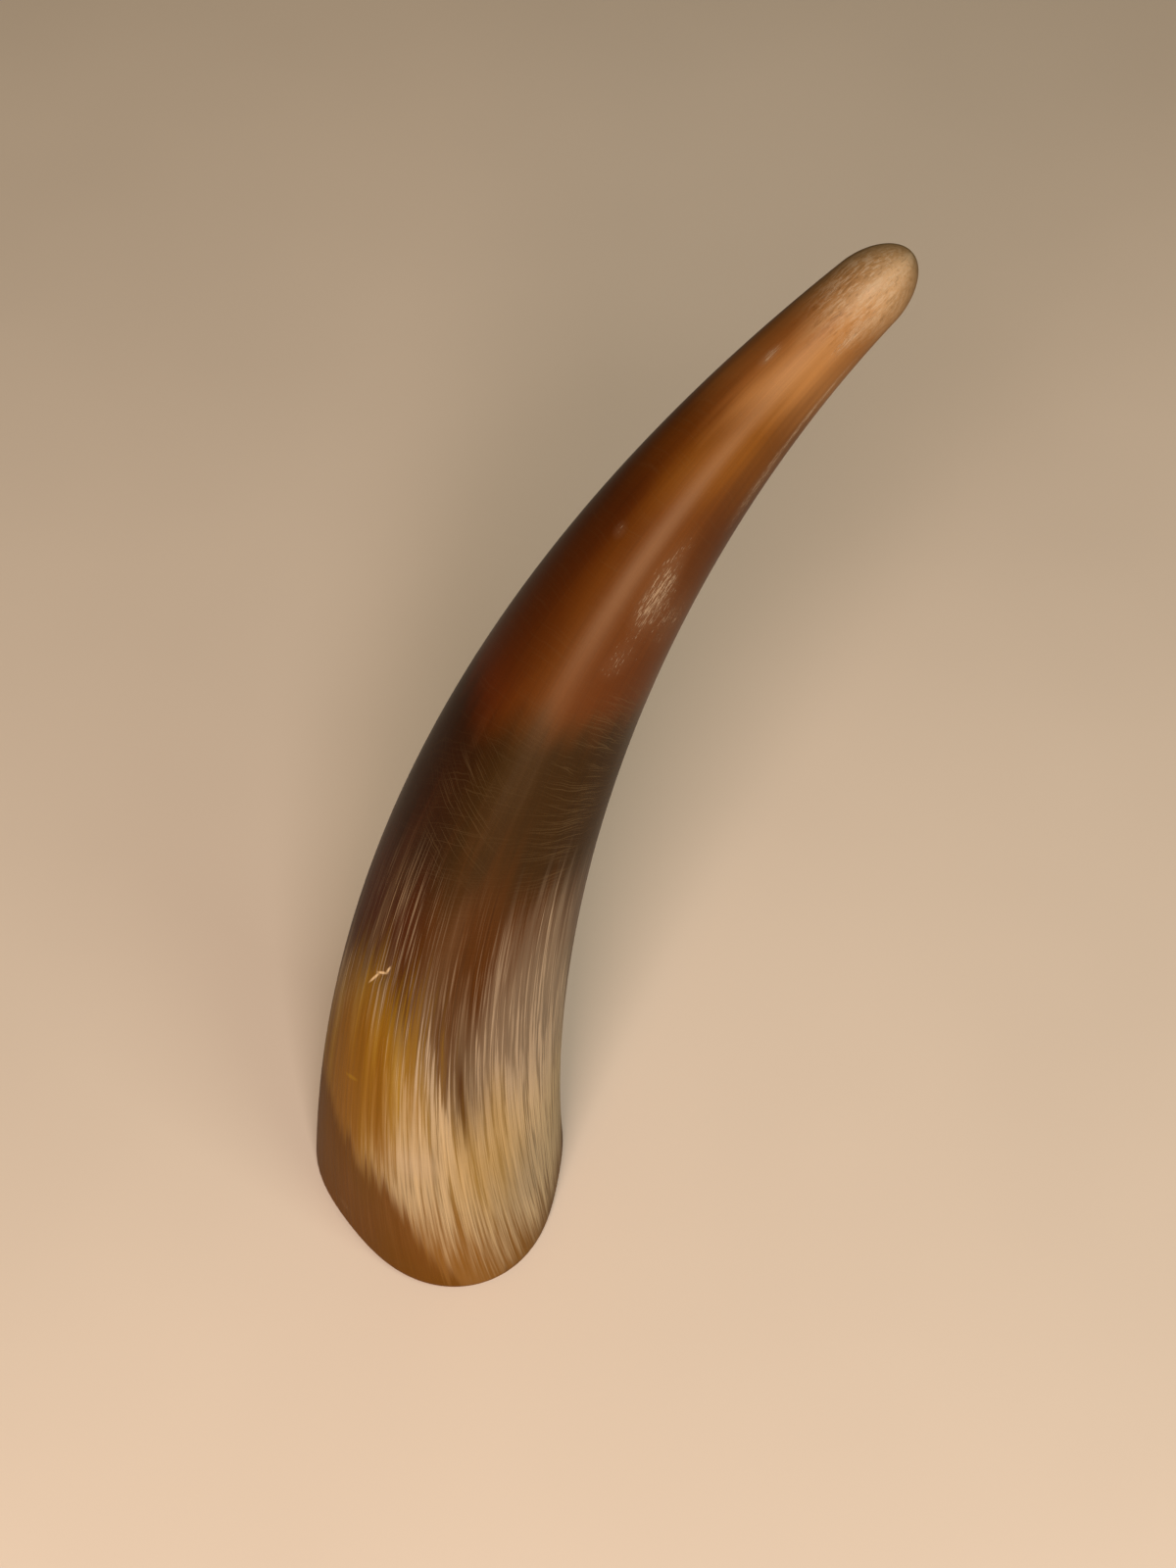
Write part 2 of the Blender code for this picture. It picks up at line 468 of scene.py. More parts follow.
def make_patch_group():
    """Mask of a soft oval patch, placed by its angle from the front and its height along the spine. Its half
    width is in degrees and its half length in millimetres, Tilt leans its upper end to the left, and Ragged
    moves its edge in or out."""
    names = (
        "Angle", "Height", "At angle", "At height", "Half width", "Half length", "Tilt", "Softness", "Ragged")
    tree, board, source, sink = new_group("Horn patch", dict.fromkeys(names, "float"), {"Mask": "float"})
    away = board.math("WRAP", board.subtract(source["Angle"], source["At angle"]), 180.0, -180.0)
    away = board.times(away, MM_PER_DEGREE)
    up = board.subtract(source["Height"], source["At height"])
    cosine = board.math("COSINE", source["Tilt"])
    sine = board.math("SINE", source["Tilt"])
    across = board.add(board.times(away, cosine), board.times(up, sine))
    along = board.subtract(board.times(up, cosine), board.times(away, sine))
    across = board.math("DIVIDE", across, board.times(source["Half width"], MM_PER_DEGREE))
    along = board.math("DIVIDE", along, source["Half length"])
    distance = board.math("SQRT", board.add(board.times(across, across), board.times(along, along)))
    distance = board.add(distance, source["Ragged"])
    outer = board.add(1.0, source["Softness"])
    inner = board.subtract(1.0, source["Softness"])
    board.tree.links.new(board.rise(distance, outer, inner), sink["Mask"])
    return tree


def make_streak_group():
    """Streaks that follow a direction: noise squeezed round the horn by Fineness and drawn out along it by
    Draw, spread to fill the range from 0 to 1."""
    inputs = {"Along": "vector", "Fineness": "float", "Draw": "float", "Shift": "float"}
    tree, board, source, sink = new_group("Horn streaks", inputs, {"Value": "float"})
    scale = board.vector(source["Fineness"], source["Fineness"], source["Draw"])
    shift = board.vector(source["Shift"], source["Shift"], source["Shift"])
    value = board.noise(board.stretch(source["Along"], scale, shift), detail=3.0, roughness=0.55)
    spread = board.put("ShaderNodeMapRange", {"Value": value, "From Min": 0.30, "From Max": 0.70})
    board.tree.links.new(spread.outputs["Result"], sink["Value"])
    return tree


def make_speckle_group():
    """Dry flecks: small grains of noise, drawn out a little along the horn, that thin out where Cover
    falls."""
    inputs = {"Place": "vector", "Cover": "float", "Shift": "float"}
    tree, board, source, sink = new_group("Dry flecks", inputs, {"Mask": "float"})
    shift = board.vector(source["Shift"], source["Shift"], source["Shift"])
    value = board.noise(board.stretch(source["Place"], FLECK_SCALE, shift), detail=4.0, roughness=0.70)
    level = board.subtract(0.84, board.times(source["Cover"], 0.36))
    board.tree.links.new(board.rise(value, level, board.add(level, 0.07)), sink["Mask"])
    return tree


def make_scratch_group():
    """Thin sanding lines: noise drawn out along one direction and cut off high, so only narrow crests are
    left. Slope tilts the lines against the rings round the horn, Bow curves them, and Waver makes them
    wander."""
    inputs = {"Angle": "float", "Height": "float", "Slope": "float", "Bow": "float", "Density": "float",
              "Reach": "float", "Shift": "float", "Waver": "float"}
    tree, board, source, sink = new_group("Sanding lines", inputs, {"Mask": "float"})
    tilt = board.times(source["Angle"], source["Slope"])
    bow = board.times(board.times(source["Angle"], source["Angle"]), source["Bow"])
    level = board.add(board.add(source["Height"], board.add(tilt, bow)), source["Waver"])
    where = board.vector(
        board.times(source["Angle"], source["Reach"]), board.times(level, source["Density"]), source["Shift"])
    value = board.noise(where, detail=1.2, roughness=0.6)
    board.tree.links.new(board.rise(value, 0.55, 0.68), sink["Mask"])
    return tree


# ---------------------------------------------------------------- materials


class HornBoard(Board):
    """A board that knows where each point of the horn is and can place patches, streaks, flecks and lines."""

    def __init__(self, tree):
        super().__init__(tree)
        self.place = self.attribute("place")
        self.fibre = self.attribute("fibre")
        self.cut = self.attribute("cut", "Fac")
        self.height, self.angle = self.height_and_angle()
        self.patch_group = make_patch_group()
        self.streak_group = make_streak_group()
        self.speckle_group = make_speckle_group()
        self.scratch_group = make_scratch_group()

    def height_and_angle(self):
        """Height in millimetres and degrees from the front, out of the place, a direction and a height."""
        parts = self.put("ShaderNodeSeparateXYZ", {"Vector": self.place}).outputs
        turn = self.times(self.math("ARCTAN2", parts["Y"], parts["X"]), 180.0 / math.pi)
        return parts["Z"], self.math("WRAP", self.subtract(turn, FRONT), 180.0, -180.0)

    def patch(self, at_angle, at_height, half_width, half_length, softness=0.5, ragged=0.0, tilt=0.0):
        return self.group(
            self.patch_group, "Mask", Angle=self.angle, Height=self.height, At_angle=at_angle,
            At_height=at_height, Half_width=half_width, Half_length=half_length, Softness=softness,
            Ragged=ragged, Tilt=math.radians(tilt))

    def streaks(self, fineness, draw, shift):
        return self.group(
            self.streak_group, "Value", Along=self.fibre, Fineness=fineness, Draw=draw, Shift=shift)

    def flecks(self, cover, shift):
        return self.group(self.speckle_group, "Mask", Place=self.place, Cover=cover, Shift=shift)

    def scratches(self, slope, bow, density, reach, shift, waver=0.0):
        return self.group(
            self.scratch_group, "Mask", Angle=self.angle, Height=self.height, Slope=slope, Bow=bow,
            Density=density, Reach=reach, Shift=shift, Waver=waver)

    def side(self, start, end):
        """Step from 0 at the start angle to 1 at the end angle, which fades out again before the back."""
        way = 1.0 if end > start else -1.0
        before_back = self.rise(self.angle, way * BACK, way * SIDE_FADE)
        return self.times(self.rise(self.angle, start, end), before_back)

    def shade(self, colour, value):
        """A colour times a plain brightness."""
        return self.blend(1.0, colour, self.vector(value, value, value), mode="MULTIPLY")

    def total(self, *pairs):
        """Sum of values, each times its weight."""
        result = 0.0
        for value, weight in pairs:
            values = {0: value, 1: weight, 2: result}
            result = self.put("ShaderNodeMath", values, operation="MULTIPLY_ADD").outputs[0]
        return result


class Strands:
    """Streak values from 0 to 1 at several widths, shared by every effect that follows the fibres, so their
    edges fray together: a broad cloud, wide, middling, fine and hair-thin strands, and three mixtures of
    them."""

    def __init__(self, board):
        self.cloud = board.streaks(1.6, 0.030, 5.0)
        self.wide = board.streaks(5.0, 0.014, 2.0)
        self.middling = board.streaks(12.0, 0.022, 3.0)
        self.fine = board.streaks(32.0, 0.034, 8.0)
        self.hair = board.streaks(70.0, 0.050, 6.0)
        self.soft = board.total((self.wide, 0.35), (self.middling, 0.65))
        self.mixed = board.total(
            (self.wide, 0.12), (self.middling, 0.36), (self.fine, 0.50), (self.hair, 0.42), (-0.20, 1.0))
        self.thin = board.total((self.middling, 0.12), (self.fine, 0.46), (self.hair, 0.62), (-0.10, 1.0))


def belt_colours(board, colours, strand):
    """The belts of colour from the tip to the fibres, with wavering edges, painted shade on the left flank
    that is partly the horn's own darker side, and a faint lengthwise grain."""
    wander = board.add(board.rise(board.height, 124.0, 100.0, 0.0, 9.0), 2.5)
    level = board.total((board.height, 1.0), (board.vary(strand.cloud, 5.0), 1.0),
                        (board.vary(strand.wide, wander), 1.0), (board.side(-8.0, -50.0), 6.0))
    belts = board.ramp(board.times(level, 1.0 / RAMP_HEIGHT), [
        (0.00, colours.umber), (0.37, colours.umber), (0.46, colours.olive), (0.550, colours.olive),
        (0.603, colours.chestnut), (0.66, colours.chestnut), (0.74, colours.chestnut), (0.81, colours.orange),
        (0.872, colours.tan), (0.893, colours.tan), (0.938, colours.clear)])
    red = board.times(board.patch(20.0, 148.0, 30.0, 14.0, 0.8), board.rise(level, 136.0, 143.0))
    belts = board.lay(belts, colours.russet, red, 0.50)
    stained = board.times(board.rise(strand.wide, 0.45, 0.95), board.rise(board.height, 124.0, 100.0))
    belts = board.lay(belts, colours.umber, stained, 0.55)
    # Painted shade: the left flank is darkened, partly standing for the horn's own darker side.
    flank = board.rise(board.total((board.angle, 1.0), (strand.cloud, 16.0)), -12.0, -54.0)
    flank = board.times(flank, board.rise(board.angle, -BACK, -BACK_FADE))
    flank = board.times(flank, board.rise(board.height, 230.0, 215.0))
    lower = board.rise(board.height, 150.0, 126.0)
    tint = board.blend(lower, (0.62, 0.42, 0.22, 1.0), (0.98, 0.50, 0.20, 1.0))
    belts = board.lay(belts, tint, flank, 0.72, "MULTIPLY")
    inner = board.times(board.side(-4.0, 24.0), board.rise(board.height, 156.0, 180.0))
    belts = board.lay(belts, (0.64, 0.58, 0.48, 1.0), inner, 0.80, "MULTIPLY")
    grain = board.total(
        (strand.fine, 0.10), (strand.cloud, 0.12), (strand.middling, 0.08), (strand.hair, 0.10), (0.81, 1.0))
    return board.shade(belts, grain)


def fibre_cover(board, strand):
    """How much of the surface pale fibres cover, from 0 to 1: more towards the cut, and higher up on the left
    and right than in the middle, where a brown wedge runs down between them."""
    level = board.total((board.height, 1.0), (board.subtract(strand.wide, 0.5), -10.0))
    cover = board.rise(level, 104.0, 38.0, 0.0, 0.86)
    return board.total(
        (cover, 1.0), (board.patch(31.0, 94.0, 17.0, 16.0, 0.8), 0.30),
        (board.patch(-50.0, 93.0, 13.0, 18.0, 0.8), 0.24), (board.patch(-2.0, 86.0, 14.0, 26.0, 0.7), -0.36),
        (board.patch(10.0, 92.0, 12.0, 12.0, 0.8), -0.16), (board.patch(12.0, 76.0, 7.0, 13.0, 0.8), 0.14),
        (board.patch(-34.0, 68.0, 13.0, 16.0, 0.8), -0.22), (board.patch(64.0, 76.0, 26.0, 24.0, 0.9), 0.16))


def fibre_colours(board, colours, base, strand):
    """Pale fibres over the belts: a soft cloud first, then wide dim strands, then fine bright ones, grey
    above and cream below, with a brown wedge and a thin dark slit left open between them. Also returns the
    mask of the bright strands."""
    cover = fibre_cover(board, strand)
    frayed = board.total((board.height, 1.0), (board.subtract(strand.mixed, 0.5), 15.0))
    notch = board.patch(6.0, 56.0, 10.0, 16.0, 0.9)
    under = board.rise(board.total((frayed, 1.0), (notch, 14.0)), 71.0, 38.0)
    base = board.lay(base, colours.ochre, under, 0.90)
    haze = board.rise(board.total((cover, 1.0), (strand.cloud, 0.35), (strand.wide, 0.30)), 0.45, 1.15)
    base = board.lay(base, colours.haze, board.times(haze, board.invert(under)), 0.50)
    dusty = board.patch(44.0, 68.0, 34.0, 24.0, 0.8, board.vary(strand.soft, 1.2))
    # Painted light: the dusty patch grows lighter towards the right side.
    dust_and_painted_light = board.total((board.side(30.0, 64.0), 0.40), (strand.fine, 0.20), (0.68, 1.0))
    base = board.lay(base, board.shade(colours.ash, dust_and_painted_light), dusty, 0.62)
    mauve = board.patch(-16.0, 72.0, 9.0, 18.0, 0.8, board.vary(strand.wide, 0.9))
    base = board.lay(base, colours.haze, mauve, 0.35)
    wedge = board.patch(-2.0, 82.0, 10.0, 21.0, 0.6, board.vary(strand.mixed, 0.9))
    streaky = board.total((strand.hair, 0.55), (strand.fine, 0.35), (0.58, 1.0))
    base = board.lay(base, board.shade(colours.umber, streaky), wedge, 0.86)

    # Painted light: the side term makes the fibres creamier towards the right side.
    creamy = board.rise(board.total((frayed, 1.0), (board.side(22.0, 60.0), 8.0)), 68.0, 42.0)
    pale = board.blend(creamy, colours.ash, colours.cream)
    soft = board.rise(board.total((cover, 1.0), (strand.soft, 1.0)), 0.85, 1.60)
    base = board.lay(base, board.shade(pale, 0.74), soft, 0.45)
    crisp = board.rise(board.total((cover, 1.0), (strand.thin, 1.0)), 1.04, 1.36)
    # Painted light: the side term makes the bright strands lighter towards the right side.
    lightness = board.total((strand.hair, 0.44), (strand.fine, 0.24), (board.side(22.0, 60.0), 0.64),
                            (board.rise(board.height, 50.0, 20.0), -0.10), (0.62, 1.0))
    base = board.lay(base, board.shade(pale, lightness), crisp, 0.88)
    where = board.either(board.patch(-50.0, 83.0, 26.0, 18.0, 0.5), board.patch(36.0, 81.0, 34.0, 19.0, 0.5))
    where = board.either(where, board.times(board.patch(-10.0, 74.0, 24.0, 20.0, 0.7), 0.55))
    wisps = board.rise(board.total((strand.hair, 0.50), (strand.fine, 0.50)), 0.52, 0.80)
    base = board.lay(base, board.shade(colours.ash, 0.90), board.times(wisps, where), 0.58)
    gaps = board.times(board.rise(strand.hair, 0.46, 0.18), board.rise(board.height, 92.0, 62.0))
    base = board.lay(base, board.shade(base, 0.45), gaps, 0.30)

    # Painted shade: the left side above the golden patch is darkened, partly standing for the horn's own
    # darker side.
    left = board.times(board.side(-18.0, -64.0), board.rise(board.height, 58.0, 76.0))
    base = board.lay(base, (0.66, 0.55, 0.40, 1.0), left, 0.80, "MULTIPLY")
    shadow = board.patch(9.0, 56.0, 7.5, 16.0, 0.9, board.vary(strand.soft, 1.4), tilt=8.0)
    base = board.lay(base, board.shade(colours.haze, 0.74), shadow, 0.70)
    blotch = board.patch(-16.0, 34.0, 10.0, 3.4, 0.9, board.vary(strand.mixed, 1.4), tilt=20.0)
    base = board.lay(base, board.shade(colours.ash, 1.35), blotch, 0.45)
    slit = board.patch(6.0, 53.0, 1.6, 9.5, 0.7, board.vary(strand.fine, 0.7), tilt=8.0)
    return board.lay(base, board.shade(colours.umber, 0.8), slit, 0.82), crisp


def gold_colours(board, colours, base, strand):
    """The clear golden patch on the left, frayed by the fibres at its top and its right side."""
    glow = board.patch(-46.0, 52.0, 30.0, 20.0, 0.6, board.vary(strand.mixed, 1.3))
    base = board.lay(base, colours.honey, glow, 0.50)
    ragged = board.total((board.subtract(strand.wide, 0.5), 0.35), (board.subtract(strand.mixed, 0.5), 0.45))
    patch = board.patch(-62.0, 42.0, 40.0, 24.0, 0.50, ragged, tilt=-10.0)
    core = board.patch(-56.0, 41.0, 20.0, 17.0, 0.9)
    light = board.times(board.rise(strand.soft, 0.35, 1.0), board.invert(core))
    gold = board.blend(light, colours.gold, colours.honey)
    gold = board.shade(gold, board.total((strand.mixed, 0.30), (board.rise(board.angle, -56.0, -84.0), -0.16),
                                         (0.88, 1.0)))
    return board.lay(base, gold, patch, 0.92)


def rim_colours(board, colours, base, strand):
    """The smooth brown horn low on the left, whose edge steps down fibre by fibre, and the amber rim on the
    right."""
    step = board.either(board.rise(board.angle, 12.0, -30.0), board.rise(board.angle, 75.0, 130.0))
    lean = board.math("COSINE", board.times(board.add(board.angle, 130.0), math.pi / 180.0))
    edge = board.total(
        (step, 24.5), (board.rise(lean, -0.35, 1.0), 8.0), (board.vary(strand.mixed, 9.0), 1.0),
        (board.vary(strand.wide, 8.0), 1.0))
    above = board.subtract(board.height, edge)
    smoky = board.patch(40.0, 25.0, 14.0, 11.0, 0.9, board.vary(strand.mixed, 1.2))
    base = board.lay(base, (0.205, 0.165, 0.105, 1.0), smoky, 0.50)
    warm = board.patch(22.0, 36.0, 15.0, 14.0, 0.9, board.vary(strand.soft, 1.2))
    base = board.lay(base, colours.honey, warm, 0.35)
    amber = board.total((board.height, 1.0), (board.subtract(strand.mixed, 0.5), 20.0),
                        (board.patch(-4.0, 12.0, 20.0, 20.0, 0.8), -8.0))
    amber = board.rise(amber, 22.0, -1.0)
    base = board.lay(base, colours.amber, amber, 0.92)
    smooth = board.rise(above, 3.5, -3.5)
    tone = board.blend(board.rise(strand.cloud, 0.2, 0.8), colours.brown, (0.088, 0.034, 0.004, 1.0))
    tone = board.shade(tone, board.total((strand.mixed, 0.2), (0.9, 1.0)))
    return board.lay(base, tone, smooth, 0.95)


def tip_strokes(board):
    """Fine short strokes drawn out along the direction that the tip leans in."""
    parts = board.put("ShaderNodeSeparateXYZ", {
        "Vector": board.put("ShaderNodeTexCoord").outputs["Object"]}).outputs
    sine, cosine = math.sin(STROKE_LEAN), math.cos(STROKE_LEAN)
    along = board.total((parts["X"], STROKES_ALONG * sine), (parts["Z"], STROKES_ALONG * cosine))
    across = board.total((parts["X"], STROKES_ACROSS * cosine), (parts["Z"], -STROKES_ACROSS * sine))
    where = board.vector(across, board.times(parts["Y"], STROKES_ACROSS), along)
    return board.noise(where, detail=3.0, roughness=0.65)


def wear_marks(board, colours, base, strand):
    """Dry marks of handling: flecked scuffs, fine strokes on the tip, sanding lines across the dark belt and
    one torn nick with a pale lip. Also returns the masks of the dry marks and of the lines."""
    scuffed = board.total(
        (board.patch(7.0, 167.0, 12.0, 9.0, 0.9), 0.80), (board.patch(36.0, 161.0, 24.0, 8.0, 0.9), 0.74),
        (board.patch(8.0, 151.0, 13.0, 4.0, 0.9), 0.64), (board.patch(42.0, 188.0, 9.0, 11.0, 0.9), 0.74),
        (board.patch(39.0, 207.0, 4.0, 9.0, 0.9), 0.84), (board.patch(4.0, 217.0, 10.0, 5.0, 0.9), 0.78),
        (board.patch(-64.0, 219.0, 6.0, 2.5, 0.9), 0.68), (board.patch(-55.0, 206.0, 6.0, 2.2, 0.9), 0.62),
        (board.patch(-48.0, 171.0, 7.0, 2.0, 0.9), 0.55), (board.patch(-20.0, 200.0, 60.0, 26.0, 0.9), 0.42),
        (board.patch(-55.0, 6.5, 6.0, 1.6, 0.9), 0.75), (board.patch(150.0, 180.0, 26.0, 14.0, 0.9), 0.65),
        (board.patch(-140.0, 120.0, 22.0, 12.0, 0.9), 0.60))
    flecks = board.flecks(scuffed, 4.0)
    strokes = tip_strokes(board)
    dome = board.patch(-30.0, 223.0, 70.0, 8.0, 0.7, board.vary(strokes, 2.0))
    flecks = board.either(flecks, board.times(dome, board.rise(strokes, 0.48, 0.62)))
    specks = board.times(dome, board.rise(strokes, 0.44, 0.34))
    base = board.lay(base, board.shade(base, 0.55), specks, 0.55)
    bloom = board.times(board.rise(scuffed, 0.35, 1.2), 0.10)
    base = board.blend(board.either(board.times(flecks, 0.52), bloom), base, colours.scuff)

    drift = board.vary(strand.cloud, 1.3)
    belt = board.patch(40.0, 120.0, 40.0, 16.0, 0.9, drift)
    belt_left = board.patch(-36.0, 115.0, 30.0, 14.0, 0.9, drift)
    waver = board.vary(strand.cloud, 1.2)
    fan = board.rise(board.height, 106.0, 138.0, -0.10, 0.05)
    level_lines = board.scratches(fan, 0.0008, 3.3, 0.020, 1.0, waver)
    crossing = board.scratches(board.add(fan, 0.07), 0.0008, 3.0, 0.022, 13.0, waver)
    slanted_lines = board.scratches(0.16, 0.0, 3.0, 0.030, 7.0, waver)
    right_lines = board.times(board.either(level_lines, board.times(crossing, 0.7)), belt)
    left_lines = board.either(slanted_lines, board.times(level_lines, 0.6))
    left_lines = board.times(left_lines, board.times(belt_left, 0.7))
    lines = board.either(board.either(right_lines, left_lines), board.times(level_lines, 0.14))
    base = board.lay(base, (0.110, 0.074, 0.034, 1.0), lines, 0.34)

    nick = board.either(board.patch(-53.6, 71.7, 5.2, 0.20, 0.7, tilt=66.0),
                        board.patch(-49.2, 74.2, 3.6, 0.27, 0.6, tilt=38.0))
    nick = board.either(nick, board.patch(-45.8, 75.9, 3.0, 0.20, 0.7, tilt=74.0))
    nick = board.times(nick, board.rise(strand.hair, 0.05, 0.55, 0.35, 1.0))
    small = board.patch(-55.0, 45.0, 4.5, 0.4, 0.7, tilt=30.0)
    base = board.lay(base, (0.52, 0.40, 0.25, 1.0), nick, 0.80)
    base = board.lay(base, colours.honey, small, 0.5)
    return base, board.either(flecks, nick), lines


def cut_colours(board, colours, base):
    """The flat cut underneath: growth rings round the middle, crossed by straight saw marks. Also returns
    the saw marks."""
    where = board.put("ShaderNodeTexCoord").outputs["Object"]
    flat = board.stretch(where, (1.0, 1.0, 0.0))
    away = board.put("ShaderNodeVectorMath", {0: flat}, operation="LENGTH").outputs["Value"]
    wobble = board.noise(flat, scale=90.0, detail=3.0)
    rings = board.noise(
        board.vector(board.add(board.times(away, 900.0), board.times(wobble, 4.0)), 0.0, 0.0), detail=2.0)
    saw = board.noise(board.stretch(where, (1400.0, 60.0, 0.0)), detail=2.0)
    face = board.blend(board.rise(rings, 0.35, 0.65), colours.amber, colours.honey)
    face = board.blend(board.rise(away, 0.016, 0.025), face, colours.brown)
    face = board.lay(face, colours.ash, board.rise(saw, 0.52, 0.66), 0.35)
    return board.blend(board.cut, base, face), saw


def make_horn_material(colours):
    """Satin horn. Belts of colour run from the tip down, pale fibres thicken towards the cut round a golden
    patch, and scuffs, a nick and fine sanding lines lie over them."""
    material = bpy.data.materials.new("polished_horn")
    material.use_nodes = True
    tree = material.node_tree
    board = HornBoard(tree)
    finish = tree.nodes["Principled BSDF"]

    strand = Strands(board)
    base = belt_colours(board, colours, strand)
    base, pale = fibre_colours(board, colours, base, strand)
    base = gold_colours(board, colours, base, strand)
    base = rim_colours(board, colours, base, strand)
    base, dry, lines = wear_marks(board, colours, base, strand)
    base, saw = cut_colours(board, colours, base)
    tree.links.new(base, finish.inputs["Base Color"])

    tip = board.rise(board.height, 205.0, 226.0)
    low = board.rise(board.height, 104.0, 74.0)
    roughness = board.total(
        (0.42, 1.0), (tip, 0.16), (board.times(low, pale), 0.12), (dry, 0.25), (lines, 0.10),
        (board.vary(strand.cloud, 0.06), 1.0), (board.cut, 0.22))
    tree.links.new(roughness, finish.inputs["Roughness"])
    dull = board.rise(board.height, 142.0, 128.0)
    polish = board.total(
        (0.31, 1.0), (tip, -0.19), (dull, -0.08), (low, -0.11), (dry, -0.16), (lines, -0.06),
        (board.cut, -0.06), (board.vary(strand.cloud, -0.06), 1.0))
    tree.links.new(polish, finish.inputs["Coat Weight"])

    grooves = board.times(board.subtract(1.0, strand.mixed), low)
    uneven = board.noise(board.place, scale=6.0, detail=3.0)
    relief = board.total((grooves, -1.0), (dry, -0.8), (lines, 0.5), (board.times(saw, board.cut), 1.5),
                         (uneven, 0.30), (strand.hair, 0.12))
    bump = board.put("ShaderNodeBump", {"Height": relief, "Strength": 0.5, "Distance": 0.00010})
    tree.links.new(bump.outputs["Normal"], finish.inputs["Normal"])

    finish.inputs["IOR"].default_value = 1.54
    finish.inputs["Specular IOR Level"].default_value = 0.01
    finish.inputs["Coat Roughness"].default_value = 0.33
    return material


def make_table_material(settings):
    """Matt pale table top with the faintest unevenness of tone."""
    material = bpy.data.materials.new("pale_table")
    material.use_nodes = True
    tree = material.node_tree
    board = Board(tree)
    finish = tree.nodes["Principled BSDF"]
    where = board.put("ShaderNodeTexCoord").outputs["Object"]
    cloud = board.noise(where, scale=6.0, detail=3.0)
    tone = tuple(0.94 * channel for channel in settings.table_colour[:3]) + (1.0,)
    top = board.blend(board.rise(cloud, 0.3, 0.7), settings.table_colour, tone)
    tree.links.new(top, finish.inputs["Base Color"])
    finish.inputs["Roughness"].default_value = 0.75
    return material


# ---------------------------------------------------------------- operators


class MakeHorn(bpy.types.Operator):
    """Make the polished horn and let it stand for the plain solid"""

    bl_idname = "buffalo_horn.make_horn"
    bl_label = "Make horn"

    def execute(self, context):
        scene = context.scene
        mesh = make_horn_mesh(scene.horn_size)
        mesh.materials.append(make_horn_material(scene.horn_colours))
        piece = bpy.data.objects.new("polished_horn", mesh)
        scene.collection.objects.link(piece)
        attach(piece, "root")
        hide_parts(HORN_NODE)
        return {"FINISHED"}


def add_light(scene, name, place, target, width, height, power, colour):
    """A rectangular soft light at a point, facing a target."""
    light = bpy.data.lights.new(name, "AREA")
    light.shape = "RECTANGLE"
    light.size = width
    light.size_y = height
    light.energy = power
    light.color = colour
    lamp = bpy.data.objects.new(name, light)
    lamp.location = place
    lamp.rotation_euler = (Vector(target) - Vector(place)).to_track_quat("-Z", "Y").to_euler()
    scene.collection.objects.link(lamp)


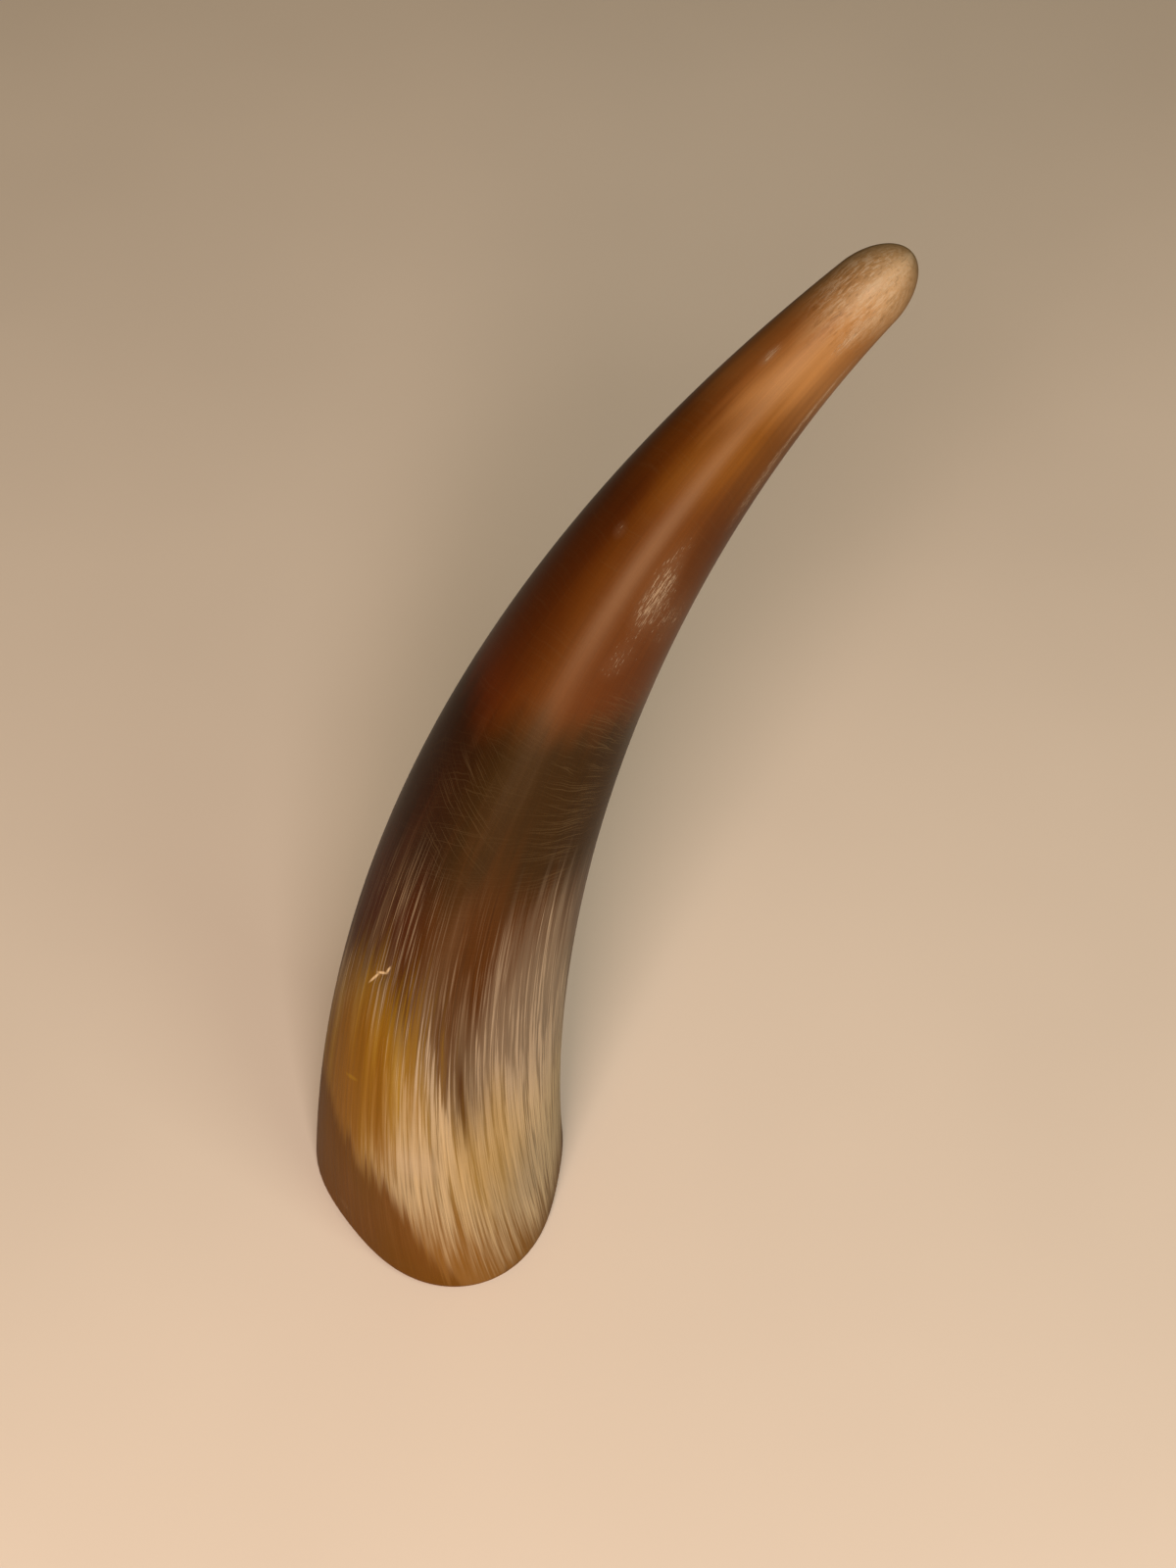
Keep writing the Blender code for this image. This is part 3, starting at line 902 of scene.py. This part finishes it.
class MakeStage(bpy.types.Operator):
    """Make the table, the lights and the camera"""

    bl_idname = "buffalo_horn.make_stage"
    bl_label = "Make stage"

    def execute(self, context):
        scene = context.scene
        settings = scene.horn_stage
        middle = 0.5 * (HORN_LOW + HORN_HIGH)
        azimuth = settings.camera_azimuth
        rightward = np.array([math.cos(azimuth), math.sin(azimuth), 0.0])
        away = np.array([-math.sin(azimuth), math.cos(azimuth), 0.0])
        upward = np.array([0.0, 0.0, 1.0])

        half = 0.5 * settings.table_size
        corners = [(-half, -half, 0.0), (half, -half, 0.0), (half, half, 0.0), (-half, half, 0.0)]
        top = bpy.data.meshes.new("table_top")
        top.from_pydata(corners, [], [(0, 1, 2, 3)])
        top.materials.append(make_table_material(settings))
        table = bpy.data.objects.new("table_top", top)
        scene.collection.objects.link(table)

        def light(name, height, turn, rise, distance, width, tall, power, colour):
            """A soft light seen from the horn at an angle to the right of the camera and one above the
            table."""
            turn, rise = math.radians(turn), math.radians(rise)
            level = math.sin(turn) * rightward - math.cos(turn) * away
            target = np.array([middle[0], middle[1], height])
            position = target + distance * (math.cos(rise) * level + math.sin(rise) * upward)
            add_light(scene, name, position, target, width, tall, power, colour)

        light("right_light", 0.0, 8.0, 50.0, 0.90, 0.17, 0.17, settings.right_power, (1.0, 0.95, 0.93))
        light("left_light", 0.0, -12.0, 47.0, 0.90, 0.20, 0.20, settings.left_power, (1.0, 0.93, 0.89))
        light("side_light", 0.0, 45.0, 54.0, 0.90, 0.30, 0.30, settings.side_power, (0.85, 0.92, 0.82))
        light("strip_light", 0.06, -14.6, 7.2, 1.04, 0.42, 0.36, settings.strip_power, (1.0, 0.60, 0.32))

        world = bpy.data.worlds.new("studio")
        world.use_nodes = True
        background = world.node_tree.nodes["Background"]
        background.inputs["Color"].default_value = (1.0, 0.93, 0.50, 1.0)
        background.inputs["Strength"].default_value = settings.ambient
        scene.world = world

        lift = settings.camera_elevation
        backward = -math.cos(lift) * away + math.sin(lift) * upward
        aim = middle + np.array(settings.aim_offset)
        camera = bpy.data.objects.new("camera", bpy.data.cameras.new("camera"))
        camera.data.lens = settings.lens
        camera.data.sensor_width = 36.0
        camera.data.clip_start = 0.01
        camera.location = aim + settings.camera_distance * backward
        camera.rotation_euler = Vector(-backward).to_track_quat("-Z", "Y").to_euler()
        scene.collection.objects.link(camera)
        scene.camera = camera
        scene.view_settings.view_transform = "Standard"
        return {"FINISHED"}


class HornPanel(bpy.types.Panel):
    """Lists the horn's sizes and colours and the buttons that make it"""

    bl_idname = "VIEW3D_PT_buffalo_horn"
    bl_label = "Buffalo Horn"
    bl_space_type = "VIEW_3D"
    bl_region_type = "UI"
    bl_category = "Horn"

    def draw(self, context):
        scene = context.scene
        for group in (scene.horn_size, scene.horn_colours, scene.horn_stage):
            box = self.layout.box()
            for name in group.__annotations__:
                box.prop(group, name)
        for operator in (MakeStage, MakeHorn):
            self.layout.operator(operator.bl_idname)


CLASSES = (HornSize, HornColours, StageSetting, MakeHorn, MakeStage, HornPanel)


def register():
    for item in CLASSES:
        bpy.utils.register_class(item)
    bpy.types.Scene.horn_size = bpy.props.PointerProperty(type=HornSize)
    bpy.types.Scene.horn_colours = bpy.props.PointerProperty(type=HornColours)
    bpy.types.Scene.horn_stage = bpy.props.PointerProperty(type=StageSetting)


def unregister():
    del bpy.types.Scene.horn_stage
    del bpy.types.Scene.horn_colours
    del bpy.types.Scene.horn_size
    for item in reversed(CLASSES):
        bpy.utils.unregister_class(item)


def main():
    register()
    bpy.ops.buffalo_horn.make_stage()
    bpy.ops.buffalo_horn.make_horn()


if __name__ == "__main__":
    main()
